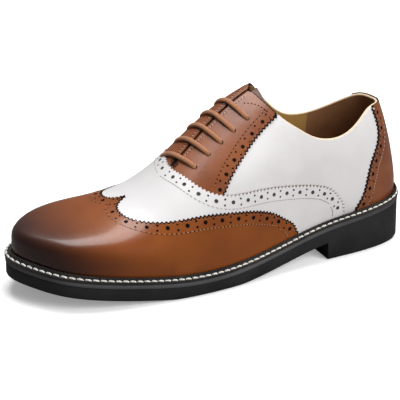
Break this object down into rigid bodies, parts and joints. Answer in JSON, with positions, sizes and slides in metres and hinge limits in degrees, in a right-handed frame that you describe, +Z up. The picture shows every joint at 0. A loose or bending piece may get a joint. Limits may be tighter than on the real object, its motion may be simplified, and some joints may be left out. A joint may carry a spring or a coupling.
{
  "type": "spectator oxford shoe",
  "caption": "Left two-colour wing-tip oxford shoe, hollow and unbent, laced over a closed slit, on a welted rubber sole with a block heel.",
  "frame": {"origin": "centre of the bounding box at the bottom, on the plane that the heel and the ball rest on", "axes": "+Z up, toe towards -X, the outer (lateral) side towards -Y"},
  "size_m": [0.3019, 0.1091, 0.1249],
  "materials": {
    "outsole": "matt black moulded rubber",
    "midsole": "matt dark grey moulded rubber",
    "welt": "black, ribbed",
    "insole": "smooth lining leather",
    "upper": "smooth white calf with a soft gloss",
    "tongue": "smooth brown calf",
    "vamp": "smooth white calf with a soft gloss",
    "wing_cap": "burnished brown calf, darker towards the toe",
    "facing_lateral": "burnished brown calf",
    "facing_medial": "burnished brown calf",
    "heel_counter": "burnished brown calf",
    "lace_bar_1": "round waxed cord",
    "lace_bar_2": "round waxed cord",
    "lace_bar_3": "round waxed cord",
    "lace_bar_4": "round waxed cord",
    "lace_bar_5": "round waxed cord"
  },
  "bodies": {
    "root": {"outsole": "outsole", "midsole": "midsole", "welt": "welt", "insole": "insole", "upper": "upper", "tongue": "tongue", "vamp": "vamp", "wing_cap": "wing_cap", "facing_lateral": "facing_lateral", "facing_medial": "facing_medial", "heel_counter": "heel_counter", "lace_bar_1": "lace_bar_1", "lace_bar_2": "lace_bar_2", "lace_bar_3": "lace_bar_3", "lace_bar_4": "lace_bar_4", "lace_bar_5": "lace_bar_5"}
  },
  "joints": []
}
